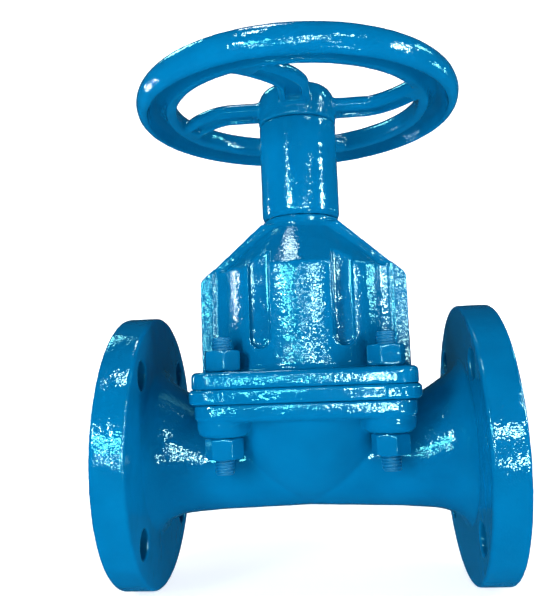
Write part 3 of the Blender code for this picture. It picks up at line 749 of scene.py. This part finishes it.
def bonnet_barrel():
    outline = [(0.0, 50.0), (BARREL_R + 1.0, 50.0), (BARREL_R + 1.0, BONNET_FLANGE_TOP + 0.6),
               (BARREL_R, BONNET_FLANGE_TOP + 3.0), (BARREL_R, BARREL_TOP),
               (NECK_R + 2.0, SLANT_HEAD_Z - 3.0), (NECK_R, SLANT_HEAD_Z + 1.0),
               (NECK_R, NECK_Z - 1.5), (NECK_R - 1.5, NECK_Z), (0.0, NECK_Z)]
    return revolved(outline)


def bonnet_wings():
    """The flat wings across the barrel, along the pipe, and the thicker band down each outer edge."""
    low = BONNET_FLANGE_TOP - 4.0
    shoulder = [(WING_X, low), (WING_X, WING_TOP - 3.0), (SLANT_FOOT_X, WING_TOP)]
    peak = shoulder + [(NECK_R - 1.0, slant_height(NECK_R - 1.0))]
    inner, proud = WING_X - BAND, BAND_PROUD
    strip = [(x + proud, z + proud) for x, z in shoulder]
    strip = [(inner, low + proud)] + strip + [(inner, slant_height(inner) + 1.5 * proud)]
    bands = [prism([(side * x, z) for x, z in strip], -BAND_Y, BAND_Y, up="Y") for side in (1, -1)]
    return [prism(peak + [(-x, z) for x, z in reversed(peak)], -WING_Y, WING_Y, up="Y")] + bands


def wing_fillets():
    """Fills the inner corners where the flat wings leave the round barrel."""
    corner_x = sqrt(BARREL_R ** 2 - WING_Y ** 2)
    reach, back, sunk = 5.2, 2.1, 4.0
    outline = [(corner_x - back, WING_Y + 4.7), (corner_x + reach, WING_Y + 0.05),
               (corner_x + reach, WING_Y - sunk), (corner_x - back - sunk, WING_Y - sunk)]
    top = slant_height(corner_x + reach) - 4.0
    return [prism([(sx * x, sy * y) for x, y in outline], BONNET_FLANGE_TOP - 4.0, top)
            for sx in (1, -1) for sy in (1, -1)]


def bonnet_grooves():
    """Four upright grooves, two on the front and two on the back, with flat floors and round ends."""
    arc = [pi + pi * k / 20 for k in range(21)]
    outline = [(GROOVE_HALF * cos(a), GROOVE_LOW + GROOVE_HALF + GROOVE_HALF * sin(a)) for a in arc]
    outline += [(GROOVE_HALF, 150.0), (-GROOVE_HALF, 150.0)]
    return [prism([(u + x, v) for u, v in outline], near, far, up="Y")
            for x in (GROOVE_X, -GROOVE_X)
            for near, far in ((-BARREL_R - 15.0, -GROOVE_FLOOR), (GROOVE_FLOOR, BARREL_R + 15.0))]


def bonnet_grain(points):
    """Coarse sand skin on the panels, the wings, the cone and the flange's edge; smooth in the grooves."""
    x, y, z = np.abs(points[:, 0]), np.abs(points[:, 1]), points[:, 2]
    edge = fade(z, BONNET_Z, BONNET_FLANGE_TOP, 1.0)
    cone = fade(z, BARREL_TOP + 2.0, NECK_Z, 3.0)
    walls = fade(z, 60.0, BARREL_TOP + 2.0, 4.0)
    bands = walls * fade(x, WING_X - BAND, WING_X + 4.0, 1.0) * fade(y, 0.0, BAND_Y + 4.0, 1.0)
    panel = walls * fade(x, 0.0, GROOVE_X - GROOVE_HALF - 2.0, 2.0)
    sides = walls * fade(x, GROOVE_X + GROOVE_HALF + 3.0, WING_X, 4.0)
    grooves = walls * fade(x, GROOVE_X - GROOVE_HALF + 1.5, GROOVE_X + GROOVE_HALF - 1.5, 1.0)
    rough = 0.15 * edge + 0.3 * cone + 0.5 * bands + 0.5 * panel + 0.8 * sides
    return rough + 0.3 * patches(points, 26.0) - 0.22 * grooves


def make_bonnet(looks):
    flange = slab(BONNET_FLANGE_HALF, FLANGE_CORNER, BONNET_Z, BONNET_FLANGE_TOP, 0.6, 2.0)
    cavity = [(0.0, 40.0), (BOWL_R + 1.0, 40.0), (BOWL_R + 1.0, 50.0), (CAVITY_R, 66.0),
              (CAVITY_R, SLOT_TOP), (SPIGOT_R + GAP, SLOT_TOP + CAVITY_R - SPIGOT_R - GAP),
              (SPIGOT_R + GAP, NECK_Z + 5.0), (0.0, NECK_Z + 5.0)]
    slot = box((-SLOT_REACH, -SLOT_HALF, 40.0), (SLOT_REACH, SLOT_HALF, SLOT_TOP))
    steps = [("UNION", [flange, *bonnet_wings(), *wing_fillets()]), ("DIFFERENCE", bonnet_grooves()),
             ("DIFFERENCE", [revolved(cavity), slot, *stud_holes(30.0, 80.0)])]
    bonnet = built("bonnet_casting", bonnet_barrel(), steps, CASTING_VOXEL, 4)
    cast_skin(bonnet, 0.14, 0.3, bonnet_grain)
    finished(bonnet, "valve_body", looks["enamel"], "enamel", "bonnet")


def sleeve_grain(points):
    """Rough on the side towards the pipe's axis, smooth elsewhere."""
    heading = np.arctan2(points[:, 1], points[:, 0])
    return 0.45 * np.clip(-np.sin(heading - 0.35), 0.0, 1.0) + 0.6 * patches(points, 22.0)


def make_neck_sleeve(looks):
    outer = [(SPIGOT_R, NECK_Z + 0.4), (SLEEVE_R - 1.8, NECK_Z + 0.4), (SLEEVE_R - 0.7, NECK_Z + 1.6),
             (SLEEVE_R, NECK_Z + 4.0)]
    rows = [NECK_Z + 4.0 + (SLEEVE_TOP - 5.2 - NECK_Z) * k / 60 for k in range(1, 61)]
    outer += [(SLEEVE_R, z) for z in rows]
    outer += [(SLEEVE_R - 0.3, SLEEVE_TOP - 0.4), (SLEEVE_R - 0.8, SLEEVE_TOP)]
    outline = [(SPINDLE_R + 0.6, SPIGOT_Z + 5.0), (11.0, SPIGOT_Z + 5.0), (11.0, SPIGOT_Z),
               (SPIGOT_R, SPIGOT_Z)] + outer
    outline += [(DRIVE_POCKET_R, SLEEVE_TOP), (DRIVE_POCKET_R, DRIVE_POCKET_Z),
                (BUSH_R + 0.4, DRIVE_POCKET_Z), (BUSH_R + 0.4, 184.0), (SPINDLE_R + 0.6, 184.0)]
    sleeve = built("sleeve", revolved(outline))
    cast_skin(sleeve, 0.1, 0.25, sleeve_grain)
    sleeve.data.set_sharp_from_angle(angle=pi / 4)
    finished(sleeve, "valve_body", looks["enamel"], "enamel", "neck_sleeve")


# ---------------------------------------------------------------- handwheel

def about_rim(section):
    middle = (WHEEL_OUTER + WHEEL_INNER) / 2
    return revolved([(middle + out, height) for out, height in section], 240)


def wheel_rim():
    """The rim before its underside is hollowed: the outer wall comes down lower than the inner one."""
    half = (WHEEL_OUTER - WHEEL_INNER) / 2
    low, lip, top = RIM_BOTTOM, RIM_INNER_BOTTOM, RIM_TOP
    outer = [(half - 7.2, low), (half - 4.2, low + 0.9), (half - 1.6, low + 3.4), (half - 0.3, low + 7.0),
             (half, low + 11.0), (half - 1.7, top - 5.5), (half - 6.3, top - 1.2), (0.0, top)]
    inner = [(0.0, top), (-half + 6.3, top - 1.4), (-half + 1.5, top - 5.0), (-half, top - 10.5),
             (-half + 0.3, lip + 1.8), (-half + 2.0, lip + 0.3), (-half + 4.5, lip)]
    return about_rim(smooth_line(outer)[:-1] + smooth_line(inner))


def rim_hollow():
    """The channel in the rim's underside, open at the bottom."""
    below = RIM_BOTTOM - 3.0
    return about_rim([(7.0, below), (6.8, RIM_BOTTOM + 3.0), (5.0, RIM_BOTTOM + 9.0), (0.0, RIM_TOP - 8.5),
                      (-5.0, RIM_BOTTOM + 10.0), (-7.0, RIM_BOTTOM + 5.0), (-7.4, below)])


def spoke_offset(radius):
    """How far the spoke's centre line has swung to the clockwise side of its radius, seen from above."""
    return 30.0 * max((radius - 50.0) / 37.0, 0.0) ** 1.8


def spoke_half(radius):
    return 11.4 - 1.6 * min(max((radius - 45.0) / 40.0, 0.0), 1.0)


def spoke_band(start, end, half_at, low, high, edge, turn, steps=40):
    """A band with broken edges along the curved centre line of one spoke."""
    rings = []
    for k in range(steps + 1):
        radius = start + (end - start) * k / steps
        ahead, behind = spoke_offset(radius + 0.5), spoke_offset(radius - 0.5)
        heading = atan2(behind - ahead, 1.0)
        half = half_at(radius)
        section = [(half - edge, low), (half, low + edge), (half, high - edge), (half - edge, high)]
        section = section + [(-u, z) for u, z in reversed(section)]
        rings.append([(radius - u * sin(heading), -spoke_offset(radius) + u * cos(heading), z)
                      for u, z in section])
    return moved(joined(rings), turn=turn)


def wheel_hub():
    outline = [(SLEEVE_R, HUB_BOTTOM), (SLEEVE_R + 0.4, HUB_BOTTOM + 3.0), (SLEEVE_R + 0.5, 249.0),
               (SLEEVE_R - 0.1, 254.0), (26.6, HUB_TOP - 4.5), (23.6, HUB_TOP - 1.4), (20.0, HUB_TOP)]
    return revolved([(0.0, HUB_BOTTOM)] + smooth_line(outline) + [(0.0, HUB_TOP)])


def wheel_grain(points):
    """Sparkling skin on the hub and round the rim's outer wall, in patches."""
    reach = np.hypot(points[:, 0], points[:, 1])
    hub = fade(reach, 0.0, SLEEVE_R + 3.0, 3.0)
    rim = fade(reach, WHEEL_INNER - 3.0, WHEEL_OUTER + 3.0, 3.0)
    return 0.5 * hub + 0.4 * rim + 0.6 * patches(points, 24.0, 0.1)


def make_handwheel(looks):
    turns = [tau * k / SPOKES for k in range(SPOKES)]
    solid_spokes = [spoke_band(18.0, 97.0, spoke_half, SPOKE_BOTTOM, SPOKE_TOP, 3.0, turn) for turn in turns]
    recesses = [spoke_band(33.0, 81.0, lambda r: spoke_half(r) - 5.5, SPOKE_BOTTOM - 4.0,
                           SPOKE_BOTTOM + 4.5, 1.5, turn) for turn in turns]
    key_way = box((8.0, -KEY_HALF - GAP, HUB_BOTTOM - 3.0), (14.8 + GAP, KEY_HALF + GAP, KEY_HIGH + GAP))
    bores = [cylinder(BUSH_R + 0.4, HUB_BOTTOM - 3.0, HUB_TOP + 3.0),
             cylinder(15.3, 250.3, HUB_TOP + 3.0), key_way]
    steps = [("UNION", [wheel_hub(), *solid_spokes]), ("DIFFERENCE", [rim_hollow(), *recesses]),
             ("DIFFERENCE", bores)]
    wheel = built("wheel_casting", wheel_rim(), steps, CASTING_VOXEL, 7)
    cast_skin(wheel, 0.12, 0.3, wheel_grain)
    finished(wheel, "handwheel_assembly", looks["enamel"], "enamel", "handwheel")


def make_wheel_nut(looks):
    """The slotted ring nut that holds the wheel on the drive bush."""
    inner, outer, low, high = BUSH_R + 0.4, 15.0, 252.5, HUB_TOP - 0.6
    outline = [(inner + 0.4, low), (outer - 0.4, low), (outer, low + 0.4), (outer, high - 0.5),
               (outer - 0.5, high), (inner + 0.5, high), (inner, high - 0.5), (inner, low + 0.4)]
    slots = [moved(box((13.4, -1.8, 256.0), (18.0, 1.8, 270.0)), turn=pi / 2 * k + pi / 4) for k in range(4)]
    nut = built("ring_nut", revolved(outline, 96), [("DIFFERENCE", slots)])
    nut.data.set_sharp_from_angle(angle=pi / 6)
    finished(nut, "handwheel_assembly", looks["steel"], "steel", "wheel_nut")


# ---------------------------------------------------------------- threads and fasteners

def threaded(radius, depth, pitch, low, high, chamfer, hand=1, around=40, per_turn=10):
    """A threaded rod as one closed skin: round crests and roots, fading out at the chamfered ends."""
    rows = int((high - low) / pitch * per_turn)
    rings = [[(0.0, 0.0, low)]]
    for k in range(rows + 1):
        z = low + (high - low) * k / rows
        end = min(z - low, high - z)
        limit = radius - max(chamfer - end, 0.0)
        ring = []
        for i in range(around):
            a = tau * i / around
            wave = 0.5 + 0.5 * cos(tau * z / pitch - hand * a)
            ring.append((min(radius - depth * wave ** 1.5, limit) * cos(a),
                         min(radius - depth * wave ** 1.5, limit) * sin(a), z))
        rings.append(ring)
    rings.append([(0.0, 0.0, high)])
    return joined(rings)


def nut_blank(turn, low):
    """A hexagon nut's plain blank, before its corners are turned off top and bottom."""
    corner = NUT_FLATS / sqrt(3)
    hexagon = [(corner * cos(turn + pi / 3 * k), corner * sin(turn + pi / 3 * k)) for k in range(6)]
    return prism(hexagon, low, low + NUT_HEIGHT)


def nut_turning(low):
    corner, face, fall = NUT_FLATS / sqrt(3), NUT_FLATS / 2 - 0.4, 1.5
    high = low + NUT_HEIGHT
    return revolved([(0.0, low), (face, low), (corner + 0.2, low + fall), (corner + 0.2, high - fall),
                     (face, high), (0.0, high)], 72)


def make_fasteners(looks):
    upper_turns = (0.17, 0.79, 0.9, 0.1)
    lower_turns = (0.75, 0.04, 0.7, 0.4)
    for number, (x, y) in enumerate(stud_places(), 1):
        rod = threaded(STUD_R, STUD_THREAD_DEPTH, STUD_PITCH, STUD_LOW, STUD_HIGH, 1.2)
        stud = to_object(f"stud_thread_{number}", moved(rod, (x, y, 0.0)))
        stud.data.shade_smooth()
        finished(stud, "valve_body", looks["enamel"], "enamel", f"stud_{number}")
        for kind, low, turn in (("upper", UPPER_NUT_Z, upper_turns[number - 1]),
                                ("lower", LOWER_NUT_Z, lower_turns[number - 1])):
            bore = cylinder(STUD_R + RUNNING + 0.2, low - 3.0, low + NUT_HEIGHT + 3.0)
            steps = [("INTERSECT", [moved(nut_turning(low), (x, y, 0.0))]),
                     ("DIFFERENCE", [moved(bore, (x, y, 0.0))])]
            nut = built(f"{kind}_hex_nut_{number}", moved(nut_blank(turn, low), (x, y, 0.0)), steps,
                        NUT_VOXEL, 3)
            cast_skin(nut, 0.06, 0.15)
            finished(nut, "valve_body", looks["enamel"], "enamel", f"{kind}_nut_{number}")


def make_spindle(looks):
    """The rising spindle, with its left-hand thread."""
    low = SOCKET_FLOOR + 0.4
    thread_low = SPINDLE_THREAD_LOW
    plain = [(0.0, low), (SPINDLE_R - 0.8, low), (SPINDLE_R, low + 0.8), (SPINDLE_R, thread_low - 3.0),
             (SPINDLE_R - 1.2, thread_low - 1.0), (SPINDLE_R - 1.2, thread_low + 2.0),
             (0.0, thread_low + 2.0)]
    screw = threaded(SPINDLE_R, SPINDLE_THREAD_DEPTH, SPINDLE_PITCH, thread_low, SPINDLE_TOP, 1.2,
                     hand=-1, around=48, per_turn=14)
    pin_hole = moved(cylinder(PIN_R + RUNNING, -20.0, 20.0), (0.0, 0.0, PIN_Z), tip="Y")
    steps = [("UNION", [screw]), ("DIFFERENCE", [pin_hole])]
    spindle = built("threaded_spindle", revolved(plain, 48), steps)
    spindle.data.set_sharp_from_angle(angle=pi / 4)
    finished(spindle, "spindle_assembly", looks["steel"], "steel", "spindle")


# ---------------------------------------------------------------- studio

CAMERA_AT = (0.150775, -0.49944, 0.054688)
CAMERA_YAW, CAMERA_PITCH, CAMERA_ROLL = -0.080, 0.104, -0.037
CAMERA_LENS = 41.4
FLOOR_Z = CAD_LOW.z - 0.0001
FLOOR_GLOW = 0.72
SKY_COLOUR = (0.15, 0.7, 1.0)
SKY_STRENGTH = 0.08
WHITE = (1.0, 1.0, 1.0)
COOL = (0.35, 1.0, 1.0)
LIT_HEIGHT = 0.1


def make_camera():
    forward = Vector((sin(CAMERA_YAW) * cos(CAMERA_PITCH), cos(CAMERA_YAW) * cos(CAMERA_PITCH),
                      sin(CAMERA_PITCH)))
    level = Vector((cos(CAMERA_YAW), -sin(CAMERA_YAW), 0.0))
    upright = level.cross(forward)
    right = level * cos(CAMERA_ROLL) + upright * sin(CAMERA_ROLL)
    up = upright * cos(CAMERA_ROLL) - level * sin(CAMERA_ROLL)
    data = bpy.data.cameras.new("camera")
    data.lens = CAMERA_LENS
    data.sensor_width = 36.0
    data.clip_start = 0.01
    camera = bpy.data.objects.new("camera", data)
    bpy.context.scene.collection.objects.link(camera)
    columns = Matrix((right, up, -forward)).transposed().to_4x4()
    camera.matrix_world = Matrix.Translation(CAMERA_AT) @ columns
    bpy.context.scene.camera = camera


def plain_material(name, colour, roughness, glow=0.0):
    made = bpy.data.materials.new(name)
    made.use_nodes = True
    shader = made.node_tree.nodes["Principled BSDF"]
    shader.inputs["Base Color"].default_value = (*colour, 1.0)
    shader.inputs["Roughness"].default_value = roughness
    shader.inputs["Emission Color"].default_value = (*WHITE, 1.0)
    shader.inputs["Emission Strength"].default_value = glow
    return made


def ring_mesh(name, rings, look, place, steps=96):
    """A sheet turned about Z from (radius, height) points, hidden from glossy rays."""
    maker = bmesh.new()
    rows = [[maker.verts.new((r * cos(tau * k / steps), r * sin(tau * k / steps), z)) for k in range(steps)]
            for r, z in rings]
    for low, high in zip(rows, rows[1:]):
        for k in range(steps):
            maker.faces.new((low[k], low[(k + 1) % steps], high[(k + 1) % steps], high[k]))
    maker.faces.new(rows[0])
    mesh = bpy.data.meshes.new(name)
    maker.to_mesh(mesh)
    maker.free()
    made = bpy.data.objects.new(name, mesh)
    made.location = place
    bpy.context.scene.collection.objects.link(made)
    mesh.materials.append(look)
    made.visible_glossy = False
    return made


def floor_material():
    """Pale grey under the valve, brightening outwards until it can't be told from the backdrop."""
    made = plain_material("floor", (0.8, 0.8, 0.8), 0.9)
    tree = made.node_tree
    coordinates = tree.nodes.new("ShaderNodeTexCoord")
    length = node(tree, "ShaderNodeVectorMath", operation="LENGTH")
    tree.links.new(coordinates.outputs["Object"], length.inputs[0])
    glow = ranged(tree, length.outputs["Value"], 0.1, 0.6, FLOOR_GLOW, 1.0)
    tree.links.new(glow, tree.nodes["Principled BSDF"].inputs["Emission Strength"])
    return made


def make_studio():
    """A pale floor that runs out to a bright round backdrop, and a faint even sky."""
    place = (CENTRE_X * MM, 0.0, FLOOR_Z)
    ring_mesh("floor", [(0.4, 0.0), (1.0, 0.0), (2.5, 0.0)], floor_material(), place)
    wall = [(2.45, -0.02), (2.5, 0.1), (2.8, 2.4), (2.6, 3.0)]
    backdrop = ring_mesh("backdrop", wall, plain_material("backdrop", (0.9, 0.9, 0.9), 0.9, 1.0), place)
    backdrop.visible_diffuse = False
    backdrop.visible_shadow = False
    world = bpy.data.worlds.new("studio")
    bpy.context.scene.world = world
    world.use_nodes = True
    world.node_tree.nodes["Background"].inputs["Color"].default_value = (*SKY_COLOUR, 1.0)
    world.node_tree.nodes["Background"].inputs["Strength"].default_value = SKY_STRENGTH


# Each light's name, (azimuth, elevation, distance) from the valve's middle, size, power and colour.
# Azimuth is measured from the camera's side, to the right. The first lights only add gloss, and the
# rest only fill the shadows.
GLOSS_LIGHTS = (
    ("left_strip", (-31.0, 14.6, 1.5), (0.1, 0.2), 10.0, WHITE),
    ("left_window", (-24.5, 8.0, 1.5), (0.07, 0.16), 3.0, COOL),
    ("right_strip", (70.0, 12.5, 1.5), (0.09, 0.36), 14.0, WHITE),
    ("rear_left_strip", (-107.0, 6.0, 1.5), (0.05, 0.5), 6.0, WHITE),
    ("rear_right_strip", (106.0, 8.5, 1.5), (0.14, 0.14), 3.0, COOL),
    ("window_right", (17.5, 8.0, 1.6), (0.38, 0.09), 8.0, WHITE),
    ("window_middle", (-2.5, 8.0, 1.6), (0.1, 0.09), 1.6, WHITE),
    ("window_left", (-18.0, 8.0, 1.6), (0.24, 0.11), 4.0, COOL),
    ("low_window_right", (5.4, -2.7, 0.95), (0.09, 0.03), 1.2, WHITE),
    ("lowest_window_right", (7.5, -8.0, 0.95), (0.1, 0.025), 1.0, WHITE),
    ("low_window_left", (-6.0, -3.6, 0.95), (0.1, 0.03), 0.6, COOL),
    ("lowest_window_left", (-16.0, -8.0, 0.95), (0.1, 0.025), 0.6, COOL),
    ("lip_window_left", (-19.5, -3.5, 1.5), (0.16, 0.04), 2.0, WHITE),
    ("lip_window_right", (26.0, -5.5, 1.5), (0.14, 0.04), 2.0, WHITE),
    ("hub_window", (79.0, 27.0, 1.5), (0.1, 0.12), 3.0, WHITE),
    ("overhead_window", (-129.0, 78.5, 1.5), (0.16, 0.32), 3.0, WHITE),
    ("rim_window", (-33.0, 58.5, 1.5), (0.16, 0.25), 8.0, WHITE),
    ("rim_window_left", (-125.0, 52.0, 1.5), (0.3, 0.3), 5.0, COOL),
    ("rim_window_middle", (34.0, 26.0, 1.5), (0.26, 0.08), 5.0, WHITE),
    ("rim_window_right", (100.0, 36.0, 1.5), (0.2, 0.12), 3.0, COOL),
    ("near_window_right", (32.0, -21.0, 0.43), (0.07, 0.02), 0.35, WHITE),
)
FILL_LIGHTS = (
    ("left_fill", (-34.0, 9.0, 1.5), (0.3, 0.8), 14.0, WHITE),
    ("right_fill", (74.0, 9.0, 1.5), (0.3, 0.8), 12.0, WHITE),
    ("rear_left_fill", (-107.0, 9.0, 1.5), (0.3, 0.8), 8.0, WHITE),
    ("front_fill", (12.0, 20.0, 1.8), (1.4, 1.4), 6.5, WHITE),
    ("overhead_fill", (0.0, 80.0, 1.5), (1.2, 1.2), 4.5, WHITE),
    ("rear_fill", (165.0, 40.0, 1.8), (1.4, 1.4), 6.0, WHITE),
)


def light_box(name, place, size, power, colour):
    """A soft light aimed at the valve."""
    azimuth, elevation, distance = place
    target = Vector((CENTRE_X * MM, 0.0, LIT_HEIGHT))
    a, e = np.radians(azimuth), np.radians(elevation)
    toward = Vector((sin(a) * cos(e), -cos(a) * cos(e), sin(e)))
    data = bpy.data.lights.new(name, "AREA")
    data.shape = "RECTANGLE"
    data.size, data.size_y = size
    data.energy = power
    data.color = colour
    light = bpy.data.objects.new(name, data)
    light.location = target + toward * distance
    light.rotation_mode = "QUATERNION"
    light.rotation_quaternion = toward.to_track_quat("Z", "Y")
    light.visible_camera = False
    bpy.context.scene.collection.objects.link(light)
    return light


def make_lights():
    for row in GLOSS_LIGHTS:
        light_box(*row).visible_diffuse = False
    for row in FILL_LIGHTS:
        light_box(*row).visible_glossy = False


# ---------------------------------------------------------------- assembly

def main():
    looks = {
        "enamel": enamel_material(),
        "painted_rubber": painted_rubber_material(),
        "rubber": rubber_material(),
        "steel": metal_material("steel", *STEEL),
        "bronze": metal_material("bronze", *BRONZE),
        "iron": metal_material("cast_iron", *CAST_IRON, turned=False, rough=(0.55, 0.75)),
    }
    slots = {part["node"]: part["material_slot"] for part in frame["record"]["subparts"]}
    for name, obj in frame["nodes"].items():
        obj.data.materials.clear()
        obj.data.materials.append(looks[slots[name]])
    make_body(looks)
    make_lining(looks)
    make_diaphragm_rim(looks)
    make_dome(looks)
    make_bonnet(looks)
    make_neck_sleeve(looks)
    make_handwheel(looks)
    make_wheel_nut(looks)
    make_fasteners(looks)
    make_spindle(looks)
    make_camera()
    make_studio()
    make_lights()
    bpy.context.scene.view_settings.view_transform = "Standard"


main()
